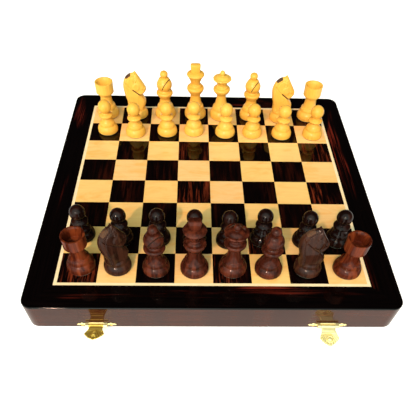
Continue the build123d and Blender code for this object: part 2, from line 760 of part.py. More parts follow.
# How far some men are turned on their squares, anticlockwise from above; the others face squarely right.
TURNS = {
    "dark_knight_left": 40.0,
    "dark_knight_right": 5.0,
    "dark_bishop_left": -50.0,
    "dark_bishop_right": 25.0,
    "light_bishop_left": -30.0,
    "light_bishop_right": -30.0,
}


def write_rank(colour, rank, names, settings):
    for file, (name, (dx, dy)) in enumerate(zip(names, settings)):
        x, y = square_centre(file, rank)
        x, y = x + dx, y + dy
        node = f"{colour}_{name}"
        make_body, base_radius = MAKERS[name.split("_")[0]]
        body = make_body(x, y, TURNS.get(node, 0.0))
        write_group([body, magnet(x, y, base_radius), felt_pad(x, y, base_radius)], node)


write_rank("dark", 0, BACK_RANK, DARK_RANK_SET)
write_rank("dark", 1, PAWNS, DARK_PAWNS_SET)
write_rank("light", 6, PAWNS, LIGHT_PAWNS_SET)
write_rank("light", 7, BACK_RANK, LIGHT_RANK_SET)
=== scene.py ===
"""Looks of the folding chess board and its men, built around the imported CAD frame."""

import json
import math

import bmesh
import bpy
import numpy as np
from mathutils import Matrix, Vector


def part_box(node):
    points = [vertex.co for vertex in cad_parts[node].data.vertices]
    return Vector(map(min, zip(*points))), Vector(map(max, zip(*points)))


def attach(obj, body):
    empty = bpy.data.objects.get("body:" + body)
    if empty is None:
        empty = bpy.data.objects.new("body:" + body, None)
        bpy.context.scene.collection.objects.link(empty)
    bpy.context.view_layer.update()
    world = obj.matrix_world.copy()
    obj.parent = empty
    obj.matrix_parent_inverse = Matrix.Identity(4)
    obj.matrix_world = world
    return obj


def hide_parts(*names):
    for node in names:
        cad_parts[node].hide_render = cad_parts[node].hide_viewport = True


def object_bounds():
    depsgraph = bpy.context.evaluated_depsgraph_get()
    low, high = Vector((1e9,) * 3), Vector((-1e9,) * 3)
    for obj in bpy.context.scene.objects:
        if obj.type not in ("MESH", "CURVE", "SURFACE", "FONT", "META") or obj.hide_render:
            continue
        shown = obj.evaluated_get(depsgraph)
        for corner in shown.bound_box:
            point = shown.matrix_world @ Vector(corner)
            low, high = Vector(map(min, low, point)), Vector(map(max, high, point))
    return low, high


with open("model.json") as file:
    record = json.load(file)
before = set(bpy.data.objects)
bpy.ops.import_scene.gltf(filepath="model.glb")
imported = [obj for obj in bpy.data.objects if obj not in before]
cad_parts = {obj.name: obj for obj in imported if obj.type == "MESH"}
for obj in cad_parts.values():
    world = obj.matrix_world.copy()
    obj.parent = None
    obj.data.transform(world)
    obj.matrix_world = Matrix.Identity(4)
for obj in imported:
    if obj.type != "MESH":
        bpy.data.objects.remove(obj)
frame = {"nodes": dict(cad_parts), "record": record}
cad_low, cad_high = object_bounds()

MM = 0.001
SQUARE = 31.75 * MM
FIELD_HALF = 4 * SQUARE


# ---------------------------------------------------------------- camera, light and floor
CAMERA_AT = (-0.01774, -0.34310, 0.30558)
CAMERA_AZIMUTH = math.radians(-2.465)
CAMERA_ELEVATION = math.radians(55.136)
CAMERA_ROLL = math.radians(2.238)
CAMERA_LENS = 37.07
CAMERA_SHIFT = (0.01872, 0.22585)


def make_camera():
    data = bpy.data.cameras.new("camera")
    data.lens = CAMERA_LENS
    data.sensor_width = 36.0
    data.shift_x, data.shift_y = CAMERA_SHIFT
    data.clip_start, data.clip_end = 0.01, 20.0
    camera = bpy.data.objects.new("camera", data)
    bpy.context.scene.collection.objects.link(camera)
    sin_az, cos_az = math.sin(CAMERA_AZIMUTH), math.cos(CAMERA_AZIMUTH)
    sin_el, cos_el = math.sin(CAMERA_ELEVATION), math.cos(CAMERA_ELEVATION)
    back = Vector((sin_az * cos_el, -cos_az * cos_el, sin_el))
    level_right = Vector((cos_az, sin_az, 0))
    level_up = back.cross(level_right)
    right = math.cos(CAMERA_ROLL) * level_right + math.sin(CAMERA_ROLL) * level_up
    up = math.cos(CAMERA_ROLL) * level_up - math.sin(CAMERA_ROLL) * level_right
    turned = Matrix((right, up, back)).transposed().to_4x4()
    camera.matrix_world = Matrix.Translation(CAMERA_AT) @ turned
    bpy.context.scene.camera = camera


SUN_FROM = Vector((-0.30, -0.70, 0.62))
SUN_STRENGTH = 2.1
SUN_ANGLE = math.radians(2.5)
SUN_COLOUR = (1.0, 0.62, 0.44)
SKY_BRIGHT_TOWARDS = Vector((-0.15, -0.80, 0.58))
SKY_DARK = (0.014, 0.018, 0.020, 1)
SKY_BRIGHT = (1.60, 2.00, 1.85, 1)
SKY_LAMP = (5.6, 5.9, 5.4, 1)
FLOOR_HALF_SIZE = 3.0
FLOOR_GLOW = 0.42


def make_lights():
    data = bpy.data.lights.new("sun", "SUN")
    data.energy = SUN_STRENGTH
    data.angle = SUN_ANGLE
    data.color = SUN_COLOUR
    sun = bpy.data.objects.new("sun", data)
    sun.rotation_mode = "QUATERNION"
    sun.rotation_quaternion = SUN_FROM.to_track_quat("Z", "Y")
    bpy.context.scene.collection.objects.link(sun)

    world = bpy.data.worlds.new("soft_box")
    bpy.context.scene.world = world
    world.use_nodes = True
    tree = world.node_tree
    background = tree.nodes["Background"]
    place = tree.nodes.new("ShaderNodeTexCoord")
    facing = tree.nodes.new("ShaderNodeVectorMath")
    facing.operation = "DOT_PRODUCT"
    facing.inputs[1].default_value = SKY_BRIGHT_TOWARDS.normalized()
    ramp = tree.nodes.new("ShaderNodeValToRGB")
    stops = ramp.color_ramp.elements
    stops[0].position, stops[0].color = 0.30, SKY_DARK
    stops[1].position, stops[1].color = 0.85, SKY_BRIGHT
    stops.new(0.965).color = SKY_BRIGHT
    stops.new(0.985).color = SKY_LAMP
    tree.links.new(place.outputs["Generated"], facing.inputs[0])
    tree.links.new(facing.outputs["Value"], ramp.inputs["Fac"])
    tree.links.new(ramp.outputs["Color"], background.inputs["Color"])


def make_floor():
    mesh = bpy.data.meshes.new("floor")
    floor = bpy.data.objects.new("floor", mesh)
    bpy.context.scene.collection.objects.link(floor)
    grid = bmesh.new()
    bmesh.ops.create_grid(grid, x_segments=8, y_segments=8, size=FLOOR_HALF_SIZE)
    bmesh.ops.translate(grid, verts=grid.verts, vec=(0, 0, cad_low.z))
    grid.to_mesh(mesh)
    grid.free()
    material, shader = new_material("pale_floor")
    speck = noise(material, "Object", 40.0, detail=3.0)
    tint = ramp_between(material, speck, (0.90, 0.90, 0.90), (0.94, 0.94, 0.94))
    material.node_tree.links.new(tint, shader.inputs["Base Color"])
    shader.inputs["Roughness"].default_value = 0.9
    shader.inputs["Specular IOR Level"].default_value = 0.0
    shader.inputs["Emission Color"].default_value = (1, 1, 1, 1)
    shader.inputs["Emission Strength"].default_value = FLOOR_GLOW
    mesh.materials.append(material)


# ---------------------------------------------------------------- material helpers
def new_material(name):
    material = bpy.data.materials.new(name)
    material.use_nodes = True
    return material, material.node_tree.nodes["Principled BSDF"]


def add_node(material, kind, **settings):
    node = material.node_tree.nodes.new(kind)
    for key, value in settings.items():
        setattr(node, key, value)
    return node


def link(material, output, socket):
    material.node_tree.links.new(output, socket)


def coordinates(material, scale=(1, 1, 1), offset=None):
    """Object coordinates in metres, scaled, with an optional linked offset added after scaling."""
    place = add_node(material, "ShaderNodeTexCoord")
    mapping = add_node(material, "ShaderNodeMapping")
    mapping.inputs["Scale"].default_value = scale
    link(material, place.outputs["Object"], mapping.inputs["Vector"])
    if offset is None:
        return mapping.outputs["Vector"]
    added = add_node(material, "ShaderNodeVectorMath", operation="ADD")
    link(material, mapping.outputs["Vector"], added.inputs[0])
    link(material, offset, added.inputs[1])
    return added.outputs["Vector"]


def noise(material, vector, scale, detail=2.0, roughness=0.5, distortion=0.0):
    """Factor of a noise texture; vector is a socket, or "Object" for plain object coordinates."""
    if vector == "Object":
        vector = coordinates(material)
    texture = add_node(material, "ShaderNodeTexNoise")
    texture.inputs["Scale"].default_value = scale
    texture.inputs["Detail"].default_value = detail
    texture.inputs["Roughness"].default_value = roughness
    texture.inputs["Distortion"].default_value = distortion
    link(material, vector, texture.inputs["Vector"])
    return texture.outputs["Fac"]


def ramp_between(material, factor, low_colour, high_colour, low=0.3, high=0.7):
    ramp = add_node(material, "ShaderNodeValToRGB")
    ramp.color_ramp.elements[0].position = low
    ramp.color_ramp.elements[0].color = (*low_colour, 1)
    ramp.color_ramp.elements[1].position = high
    ramp.color_ramp.elements[1].color = (*high_colour, 1)
    link(material, factor, ramp.inputs["Fac"])
    return ramp.outputs["Color"]


def step_between(material, factor, low, high):
    """0 below low, 1 above high, smooth between."""
    step = add_node(material, "ShaderNodeMapRange", interpolation_type="SMOOTHSTEP")
    step.inputs["From Min"].default_value = low
    step.inputs["From Max"].default_value = high
    link(material, factor, step.inputs["Value"])
    return step.outputs["Result"]


def feed(material, socket, value):
    """Set a socket to a number or a colour, or link an output to it."""
    if isinstance(value, (int, float)):
        socket.default_value = value
    elif isinstance(value, tuple):
        socket.default_value = (*value, 1)
    else:
        link(material, value, socket)


def maths(material, operation, first, second=0.0, third=0.0):
    node = add_node(material, "ShaderNodeMath", operation=operation)
    for socket, value in zip(node.inputs, (first, second, third)):
        feed(material, socket, value)
    return node.outputs["Value"]


def mix_colours(material, factor, first, second, blend="MIX"):
    node = add_node(material, "ShaderNodeMix", data_type="RGBA", blend_type=blend)
    sockets = (node.inputs["Factor"], *node.inputs[6:8])
    for socket, value in zip(sockets, (factor, first, second)):
        feed(material, socket, value)
    return node.outputs[2]


def stained(material, colour, mask, amount, stain):
    """The colour with a share of the stain wherever the mask is above zero."""
    return mix_colours(material, maths(material, "MULTIPLY", mask, amount), colour, stain)


def split(material, vector):
    node = add_node(material, "ShaderNodeSeparateXYZ")
    link(material, vector, node.inputs["Vector"])
    return node.outputs["X"], node.outputs["Y"], node.outputs["Z"]


def join(material, x=0.0, y=0.0, z=0.0):
    node = add_node(material, "ShaderNodeCombineXYZ")
    for socket, value in zip(node.inputs, (x, y, z)):
        feed(material, socket, value)
    return node.outputs["Vector"]


def bump(material, shader, height, strength, distance):
    node = add_node(material, "ShaderNodeBump")
    node.inputs["Strength"].default_value = strength
    node.inputs["Distance"].default_value = distance
    link(material, height, node.inputs["Height"])
    link(material, node.outputs["Normal"], shader.inputs["Normal"])
    return node.outputs["Normal"]


def lacquer(shader, roughness, coat_roughness, coat=1.0):
    """Clear finish: only the coat reflects, so that dark wood stays dark under it."""
    shader.inputs["Roughness"].default_value = roughness
    shader.inputs["Specular IOR Level"].default_value = 0.0
    shader.inputs["Coat Weight"].default_value = coat
    shader.inputs["Coat Roughness"].default_value = coat_roughness
    shader.inputs["Coat IOR"].default_value = 1.45


def per_object_offset(material, spread):
    """A shift of the grain that differs from piece to piece."""
    info = add_node(material, "ShaderNodeObjectInfo")
    shifted = maths(material, "MULTIPLY", info.outputs["Random"], spread)
    offset = join(material, shifted, maths(material, "MULTIPLY", shifted, 1.7), shifted)
    return offset, info.outputs["Random"]


# ---------------------------------------------------------------- wood of the board
def square_hash(material):
    """A random colour and value for each square of the field."""
    x, y, _ = split(material, coordinates(material, (1 / SQUARE, 1 / SQUARE, 0)))
    cell = join(material, maths(material, "FLOOR", x), maths(material, "FLOOR", y), 3.0)
    white = add_node(material, "ShaderNodeTexWhiteNoise", noise_dimensions="3D")
    link(material, cell, white.inputs["Vector"])
    spread = add_node(material, "ShaderNodeVectorMath", operation="SCALE")
    spread.inputs["Scale"].default_value = 40.0
    link(material, white.outputs["Color"], spread.inputs[0])
    return spread.outputs["Vector"], white.outputs["Value"]


def rosewood_streaks(material, vector, patch_vector, patch_low, patch_high):
    """Mask of reddish streaks: fine lines along the grain, gathered in a few broad patches."""
    lines = step_between(material, noise(material, vector, 1.0, 5.0, 0.62, 0.6), 0.46, 0.66)
    patches = step_between(material, noise(material, patch_vector, 1.0, 1.5), patch_low, patch_high)
    return maths(material, "MULTIPLY", lines, patches)


def make_dark_veneer():
    material, shader = new_material("rosewood_squares")
    offset, chance = square_hash(material)
    fine = coordinates(material, (420, 26, 420), offset)
    broad = coordinates(material, (60, 14, 60), offset)
    streaks = rosewood_streaks(material, fine, broad, 0.40, 0.62)
    x, y, _ = split(material, coordinates(material))
    edges = (-3 * SQUARE + 1 * MM, -3 * SQUARE - 1 * MM)
    corner = maths(material, "MULTIPLY", step_between(material, x, *edges), step_between(material, y, *edges))
    redness = step_between(material, chance, 0.62, 1.0)
    redness = maths(material, "MAXIMUM", redness, corner)
    amount = maths(material, "MULTIPLY", streaks, maths(material, "MULTIPLY_ADD", redness, 0.9, 0.10))
    grain = noise(material, fine, 2.0, 4.0)
    dark = ramp_between(material, grain, (0.0007, 0.0003, 0.0003), (0.0035, 0.0010, 0.0008))
    colour = mix_colours(material, amount, dark, (0.20, 0.030, 0.010))
    link(material, colour, shader.inputs["Base Color"])
    lacquer(shader, 0.35, 0.045, 0.6)
    bump(material, shader, noise(material, fine, 2.0, 3.0), 0.12, 0.02 * MM)
    return material


def make_maple():
    material, shader = new_material("maple_squares")
    offset, chance = square_hash(material)
    fine = coordinates(material, (26, 520, 520), offset)
    broad = coordinates(material, (34, 90, 60), offset)
    base = ramp_between(material, chance, (0.97, 0.60, 0.20), (0.96, 0.58, 0.245), 0.1, 0.9)
    figure = step_between(material, noise(material, broad, 1.0, 3.0, 0.6, 1.2), 0.42, 0.75)
    base = stained(material, base, figure, 0.75, (0.95, 0.44, 0.095))
    grain = step_between(material, noise(material, fine, 1.0, 5.0, 0.6), 0.35, 0.75)
    base = stained(material, base, grain, 0.30, (0.80, 0.43, 0.13))
    x, y, _ = split(material, coordinates(material))
    out_x, out_y = [
        step_between(material, maths(material, "ABSOLUTE", side), FIELD_HALF, FIELD_HALF + 0.02 * MM)
        for side in (x, y)
    ]
    stringing = maths(material, "MAXIMUM", out_x, out_y)
    cloud = noise(material, "Object", 90.0, 3.0)
    pale = ramp_between(material, cloud, (0.97, 0.78, 0.50), (0.92, 0.68, 0.38))
    link(material, mix_colours(material, stringing, base, pale), shader.inputs["Base Color"])
    lacquer(shader, 0.42, 0.06)
    bump(material, shader, noise(material, fine, 1.5, 3.0), 0.10, 0.02 * MM)
    return material


def along_nearest_edge(material, along, across):
    """Coordinates with the grain running along each border strip, changing at the mitres."""
    x, y, z = split(material, coordinates(material))
    size_x, size_y = (maths(material, "ABSOLUTE", side) for side in (x, y))
    on_side = maths(material, "GREATER_THAN", size_x, size_y)
    run = add_node(material, "ShaderNodeMix", data_type="FLOAT")
    link(material, on_side, run.inputs[0])
    link(material, x, run.inputs[2])
    link(material, y, run.inputs[3])
    rise = add_node(material, "ShaderNodeMix", data_type="FLOAT")
    link(material, on_side, rise.inputs[0])
    link(material, y, rise.inputs[2])
    link(material, x, rise.inputs[3])
    shift = maths(material, "MULTIPLY", on_side, 7.3)
    scaled_run = maths(material, "MULTIPLY_ADD", run.outputs[0], along, shift)
    scaled_rise = maths(material, "MULTIPLY", rise.outputs[0], across)
    return join(material, scaled_run, scaled_rise, maths(material, "MULTIPLY", z, across)), (x, y, z)


def make_border():
    material, shader = new_material("rosewood_border")
    fine, (x, y, _) = along_nearest_edge(material, 9.0, 330.0)
    broad, _ = along_nearest_edge(material, 11.0, 70.0)
    streaks = rosewood_streaks(material, fine, broad, 0.58, 0.72)
    grain = noise(material, fine, 2.0, 4.0)
    dark = ramp_between(material, grain, (0.0006, 0.0003, 0.0003), (0.0025, 0.0010, 0.0009))
    colour = stained(material, dark, streaks, 0.85, (0.17, 0.018, 0.009))
    size_x, size_y = (maths(material, "ABSOLUTE", side) for side in (x, y))
    off_mitre = maths(material, "ABSOLUTE", maths(material, "SUBTRACT", size_x, size_y))
    joint = step_between(material, off_mitre, 0.25 * MM, 0.05 * MM)
    colour = stained(material, colour, joint, 0.8, (0.001, 0.001, 0.001))
    link(material, colour, shader.inputs["Base Color"])
    lacquer(shader, 0.38, 0.06, 0.6)
    bump(material, shader, noise(material, fine, 2.0, 3.0), 0.12, 0.02 * MM)
    return material


def make_wall_wood():
    material, shader = new_material("rosewood_walls")
    fine, _ = along_nearest_edge(material, 12.0, 420.0)
    bands, _ = along_nearest_edge(material, 55.0, 2.0)
    grain = noise(material, fine, 1.0, 5.0, 0.6, 0.4)
    colour = ramp_between(material, grain, (0.030, 0.006, 0.002), (0.058, 0.013, 0.006), 0.25, 0.75)
    band = step_between(material, noise(material, bands, 1.0, 2.0), 0.35, 0.65)
    colour = stained(material, colour, band, 0.35, (0.012, 0.006, 0.006))
    link(material, colour, shader.inputs["Base Color"])
    lacquer(shader, 0.45, 0.03, 0.75)
    bump(material, shader, grain, 0.15, 0.03 * MM)
    return material


def make_plywood():
    material, shader = new_material("birch_plywood")
    plies = add_node(material, "ShaderNodeTexWave", wave_type="BANDS", bands_direction="Z")
    plies.inputs["Scale"].default_value = 240.0
    plies.inputs["Distortion"].default_value = 0.6
    link(material, coordinates(material), plies.inputs["Vector"])
    grain = noise(material, coordinates(material, (20, 400, 400)), 1.0, 4.0)
    colour = ramp_between(material, grain, (0.50, 0.33, 0.18), (0.66, 0.47, 0.28))
    colour = stained(material, colour, plies.outputs["Fac"], 0.35, (0.28, 0.16, 0.08))
    link(material, colour, shader.inputs["Base Color"])
    shader.inputs["Roughness"].default_value = 0.7
    bump(material, shader, grain, 0.2, 0.05 * MM)
    return material


def make_sheet_steel():
    material, shader = new_material("sheet_steel")
    grain = noise(material, coordinates(material, (30, 900, 900)), 1.0, 4.0)
    colour = ramp_between(material, grain, (0.48, 0.48, 0.50), (0.62, 0.62, 0.64))
    link(material, colour, shader.inputs["Base Color"])
    shader.inputs["Metallic"].default_value = 1.0
    rough = maths(material, "MULTIPLY_ADD", grain, 0.25, 0.25)
    link(material, rough, shader.inputs["Roughness"])
    return material


def make_felt(name, low, high):
    material, shader = new_material(name)
    fibres = noise(material, "Object", 2600.0, 5.0, 0.7)
    clumps = noise(material, "Object", 300.0, 3.0)
    mixed = maths(material, "MULTIPLY_ADD", clumps, 0.5, maths(material, "MULTIPLY", fibres, 0.5))
    link(material, ramp_between(material, mixed, low, high, 0.35, 0.65), shader.inputs["Base Color"])
    shader.inputs["Roughness"].default_value = 0.95
    shader.inputs["Sheen Weight"].default_value = 0.4
    shader.inputs["Sheen Roughness"].default_value = 0.5
    bump(material, shader, fibres, 0.5, 0.15 * MM)
    return material


# each brass as (name, deep colour, pale colour, roughness, metallic)
POLISHED_BRASS = ("polished_brass", (0.88, 0.55, 0.13), (0.98, 0.74, 0.28), 0.12, 1.0)
BRIGHT_BRASS = ("bright_brass", (0.93, 0.78, 0.33), (0.99, 0.90, 0.52), 0.34, 0.7)
# a darker copy of the brass for the left hasp, as painted shade
SHADED_BRASS = ("brass_painted_shade", (0.72, 0.48, 0.07), (0.92, 0.68, 0.16), 0.30, 0.8)


def make_brass(name, deep, pale, roughness, metal):
    """Brass with clouds of tarnish and a finely uneven surface."""
    material, shader = new_material(name)
    cloud = noise(material, "Object", 160.0, 4.0, 0.6)
    link(material, ramp_between(material, cloud, deep, pale), shader.inputs["Base Color"])
    shader.inputs["Metallic"].default_value = metal
    link(material, maths(material, "MULTIPLY_ADD", cloud, 0.22, roughness), shader.inputs["Roughness"])
    bump(material, shader, noise(material, "Object", 900.0, 4.0), 0.10, 0.05 * MM)
    return material


# ---------------------------------------------------------------- wood of the men
def make_boxwood():
    material, shader = new_material("boxwood")
    offset, chance = per_object_offset(material, 9.0)
    along = coordinates(material, (420, 420, 30), offset)
    grain = noise(material, along, 1.0, 5.0, 0.6, 0.5)
    warmth = noise(material, coordinates(material, (30, 30, 12), offset), 1.0, 2.0)
    base = ramp_between(material, warmth, (0.80, 0.42, 0.060), (0.84, 0.49, 0.085))
    lines = step_between(material, grain, 0.40, 0.75)
    colour = stained(material, base, lines, 0.35, (0.62, 0.27, 0.035))
    tint = ramp_between(material, chance, (1.0, 0.93, 0.85), (1.0, 1.0, 1.0), 0.0, 1.0)
    link(material, mix_colours(material, 1.0, colour, tint, "MULTIPLY"), shader.inputs["Base Color"])
    lacquer(shader, 0.38, 0.22, 0.55)
    shader.inputs["Subsurface Weight"].default_value = 0.04
    shader.inputs["Subsurface Radius"].default_value = (0.6 * MM, 0.3 * MM, 0.1 * MM)
    shader.inputs["Subsurface Scale"].default_value = 1.0
    bump(material, shader, grain, 0.10, 0.04 * MM)
    return material


def make_rosewood(name, deep, mid, streak, streak_share, coat_roughness):
    """Dark turned wood: deep and mid browns along the grain, with redder streaks."""
    material, shader = new_material(name)
    offset, _ = per_object_offset(material, 9.0)
    along = coordinates(material, (360, 360, 22), offset)
    grain = noise(material, along, 1.0, 6.0, 0.65, 0.7)
    colour = ramp_between(material, grain, deep, mid, 0.30, 0.70)
    coarse = noise(material, coordinates(material, (190, 190, 13), offset), 1.0, 4.0)
    lines = step_between(material, coarse, 0.45, 0.68)
    colour = stained(material, colour, lines, streak_share, streak)
    link(material, colour, shader.inputs["Base Color"])
    lacquer(shader, 0.34, coat_roughness, 0.42)
    bump(material, shader, grain, 0.12, 0.04 * MM)
    return material


# ---------------------------------------------------------------- turned men
FELT = 0.6
FELT_INSET = 0.25
CORNER_ROUNDING = 0.22
RING_SEGMENTS = 80


def turned_base(radius, neck_radius, neck_height):
    """Foot, rounded plinth, ledge and the flare up to the neck, common to every man."""
    return [
        (0.93 * radius, FELT, 0),
        (0.98 * radius, 0.12 * radius, 0),
        (0.95 * radius, 0.16 * radius, 0),
        (0.98 * radius, 0.20 * radius, 0.06 * radius),
        (0.79 * radius, 0.70 * radius, 0),
        (0.75 * radius, 0.73 * radius, 0.03 * radius),
        (0.68 * radius, 1.06 * radius, 0),
        (0.60 * radius, 1.10 * radius, -0.04 * (neck_height - radius)),
        (neck_radius, neck_height, 0),
    ]


BASES = {"king": 12.1, "queen": 12.0, "bishop": 11.7, "knight": 11.7, "rook": 12.0, "pawn": 10.8}
KING = turned_base(BASES["king"], 5.2, 24.6) + [
    (8.0, 28.8, 0), (8.6, 29.8, 0.6), (8.4, 33.0, 0), (6.6, 33.4, 0.3), (6.4, 35.0, 0), (5.0, 35.6, -0.3),
    (5.0, 37.6, -0.3), (8.2, 44.4, 0.2), (9.3, 45.8, 0), (8.9, 46.6, 0.5), (3.8, 48.2, 0), (0.0, 48.4, 0),
]
QUEEN = turned_base(BASES["queen"], 4.8, 25.3) + [
    (8.0, 28.8, 0), (8.6, 29.8, 0.5), (8.4, 32.6, 0), (6.6, 33.0, 0.3), (6.4, 34.4, 0), (5.2, 35.0, -0.3),
    (5.3, 37.2, -0.3), (8.4, 41.2, 0.2), (9.8, 42.4, 0), (9.3, 43.2, -0.3), (6.6, 43.9, 0.5),
    (2.3, 45.4, 0), (2.0, 45.8, 1.1), (1.2, 50.2, 0), (0.0, 50.2, 0),
]
BISHOP = turned_base(BASES["bishop"], 5.2, 19.8) + [
    (7.6, 23.4, 0), (8.3, 24.4, 0.6), (8.1, 27.2, 0), (6.2, 27.6, 0.2), (5.8, 29.0, 0), (5.5, 29.3, 2.2),
    (6.3, 39.0, 0.8), (2.8, 42.0, 0), (3.0, 42.6, 1.8), (1.6, 48.4, 0), (0.0, 48.4, 0),
]
ROOK = turned_base(BASES["rook"], 5.9, 23.0) + [
    (6.9, 23.6, 0.3), (7.0, 25.2, 0), (8.6, 25.8, 0.4), (9.3, 27.4, 0), (9.5, 37.2, 0), (8.0, 37.2, 0),
    (6.3, 33.6, 0), (5.8, 29.4, 0), (0.0, 29.4, 0),
]
PAWN_HEAD_RADIUS = 6.7
PAWN_HEAD_HEIGHT = 27.3
PAWN = turned_base(BASES["pawn"], 4.2, 16.4) + [
    (6.8, 17.2, 0.5), (6.7, 19.4, 0), (4.0, 20.4, -0.2), (3.6, 21.6, 0),
]
KNIGHT_PLINTH = turned_base(BASES["knight"], 6.6, 12.6) + [(0.0, 12.6, 0)]

CORONET_NOTCHES = 8
CORONET_NOTCH_RADIUS = 1.5
CORONET_NOTCH_AT = 10.5
CORONET_LOW = 40.9
CORONET_HIGH = 44.4


def arc_points(start, end, bow, longest=1.1):
    """Points from start to end, end left out, along an arc that bulges bow to the right of travel."""
    start, end = np.array(start, float), np.array(end, float)
    chord = end - start
    length = float(np.hypot(*chord))
    if abs(bow) < 1e-6:
        return [tuple(start)]
    count = max(5, int(math.ceil((length + 2 * abs(bow)) / longest)))
    across = np.array((chord[1], -chord[0])) / length
    radius = (length**2 / 4 + bow**2) / (2 * abs(bow))
    centre = (start + end) / 2 + across * (bow - math.copysign(radius, bow))
    first = math.atan2(*(start - centre)[::-1])
    last = math.atan2(*(end - centre)[::-1])
    sweep = (last - first + math.pi) % (2 * math.pi) - math.pi
    if abs(bow) > length / 2:
        sweep -= math.copysign(2 * math.pi, sweep)
    steps = [first + sweep * i / count for i in range(count)]
    return [(centre[0] + radius * math.cos(a), centre[1] + radius * math.sin(a)) for a in steps]


def rounded(points, size, sharper_than=math.radians(28)):
    """The polyline with each sharp corner replaced by a short curve of about that size."""
    result = [points[0]]
    for before, here, after in zip(points, points[1:], points[2:]):
        before, here, after = (np.array(p, float) for p in (before, here, after))
        back, on = before - here, after - here
        reach = min(size, 0.4 * np.hypot(*back), 0.4 * np.hypot(*on))
        back, on = back / np.hypot(*back), on / np.hypot(*on)
        turn = math.pi - math.acos(float(np.clip(back @ on, -1, 1)))
        if turn < sharper_than or reach < 0.02:
            result.append(tuple(here))
            continue
        a, b = here + back * reach, here + on * reach
        for t in (0.0, 0.25, 0.5, 0.75, 1.0):
            result.append(tuple((1 - t) ** 2 * a + 2 * t * (1 - t) * here + t**2 * b))
    result.append(points[-1])
    return result


def profile_of(stations, base_radius):
    """Fine outline in mm from the middle of the felt to the middle of the top."""
    felt_radius = 0.93 * base_radius - FELT_INSET
    points = [(0.0, 0.0), (felt_radius - 0.2, 0.0), (felt_radius, 0.15), (felt_radius, FELT)]
    for (radius, height, bow), (next_radius, next_height, _) in zip(stations, stations[1:]):
        points += arc_points((radius, height), (next_radius, next_height), bow)
    points.append(stations[-1][:2])
    return rounded(points, CORNER_ROUNDING)


def pawn_profile():
    points = profile_of(PAWN, BASES["pawn"])
    joint = math.asin(PAWN[-1][0] / PAWN_HEAD_RADIUS)
    steps = 30
    for i in range(steps + 1):
        angle = joint + (math.pi - joint) * i / steps
        radius = PAWN_HEAD_RADIUS * math.sin(angle)
        points.append((max(radius, 0.0), PAWN_HEAD_HEIGHT - PAWN_HEAD_RADIUS * math.cos(angle)))
    return points


def notched(radius, height, angle):
    """Radius of the queen's coronet where a notch bites into it."""
    if not CORONET_LOW < height < CORONET_HIGH:
        return radius
    pitch = 2 * math.pi / CORONET_NOTCHES
    off = (angle + pitch / 2) % pitch - pitch / 2
    side = CORONET_NOTCH_AT * math.sin(off)
    if abs(side) >= CORONET_NOTCH_RADIUS:
        return radius
    bite = CORONET_NOTCH_AT * math.cos(off) - math.sqrt(CORONET_NOTCH_RADIUS**2 - side**2)
    return min(radius, bite)


def lathe(name, points, segments=RING_SEGMENTS, reshape=None):
    """Closed mesh in metres from revolving (radius, height) points in mm, felt faces in slot 1."""
    turned = bmesh.new()
    rings = []
    for radius, height in points:
        if radius < 1e-4:
            rings.append([turned.verts.new((0, 0, height * MM))])
            continue
        ring = []
        for i in range(segments):
            angle = 2 * math.pi * i / segments
            reach = reshape(radius, height, angle) if reshape else radius
            place = (reach * math.cos(angle) * MM, reach * math.sin(angle) * MM, height * MM)
            ring.append(turned.verts.new(place))
        rings.append(ring)
    for (lower, low_point), (upper, high_point) in zip(zip(rings, points), zip(rings[1:], points[1:])):
        felt = max(low_point[1], high_point[1]) <= FELT + 1e-6
        for i in range(segments):
            j = (i + 1) % segments
            if len(lower) == 1 and len(upper) == 1:
                continue
            if len(lower) == 1:
                corners = (lower[0], upper[j], upper[i])
            elif len(upper) == 1:
                corners = (lower[i], lower[j], upper[0])
            else:
                corners = (lower[i], lower[j], upper[j], upper[i])
            face = turned.faces.new(corners)
            face.material_index = 1 if felt else 0
            face.smooth = True
    bmesh.ops.recalc_face_normals(turned, faces=turned.faces)
    mesh = bpy.data.meshes.new(name)
    turned.to_mesh(mesh)
    turned.free()
    return mesh


def combine(mesh, tool_mesh, operation, name):
    """The mesh that an exact boolean of two meshes leaves."""
    body = bpy.data.objects.new("work_body", mesh)
    tool = bpy.data.objects.new("work_tool", tool_mesh)
    for each in (body, tool):
        bpy.context.scene.collection.objects.link(each)
    cut = body.modifiers.new("cut", "BOOLEAN")
    cut.operation = operation
    cut.solver = "EXACT"
    cut.object = tool
    evaluated = body.evaluated_get(bpy.context.evaluated_depsgraph_get())
    result = bpy.data.meshes.new_from_object(evaluated)
    result.name = name
    bpy.data.objects.remove(body)
    bpy.data.objects.remove(tool)
    return result


def smooth_but_for_edges(mesh, degrees=32):
    for face in mesh.polygons:
        face.use_smooth = True
    mesh.set_sharp_from_angle(angle=math.radians(degrees))


FINIAL = [  # the king's finial as (half width, half depth, height)
    (2.8, 2.0, 47.5), (4.4, 2.6, 47.9), (4.7, 2.9, 48.9), (4.8, 3.0, 50.4), (5.0, 3.1, 52.4),
    (5.3, 3.2, 54.2), (5.2, 3.1, 55.2), (4.7, 2.7, 55.9), (3.8, 1.9, 56.2),
]


def make_finial():
    """Rounded block with a squarish section, closed top and bottom."""
    block = bmesh.new()
    around = 40
    rings = []
    for half_width, half_depth, height in FINIAL:
        ring = []
        for i in range(around):
            angle = 2 * math.pi * i / around
            c, s = math.cos(angle), math.sin(angle)
            x = math.copysign(abs(c) ** 0.42, c) * half_width
            y = math.copysign(abs(s) ** 0.42, s) * half_depth
            ring.append(block.verts.new((x * MM, y * MM, height * MM)))
        rings.append(ring)
    for lower, upper in zip(rings, rings[1:]):
        for i in range(around):
            j = (i + 1) % around
            block.faces.new((lower[i], lower[j], upper[j], upper[i]))
    block.faces.new(list(reversed(rings[0])))
    block.faces.new(rings[-1])
    bmesh.ops.recalc_face_normals(block, faces=block.faces)
    mesh = bpy.data.meshes.new("finial")
    block.to_mesh(mesh)
    block.free()
    return mesh


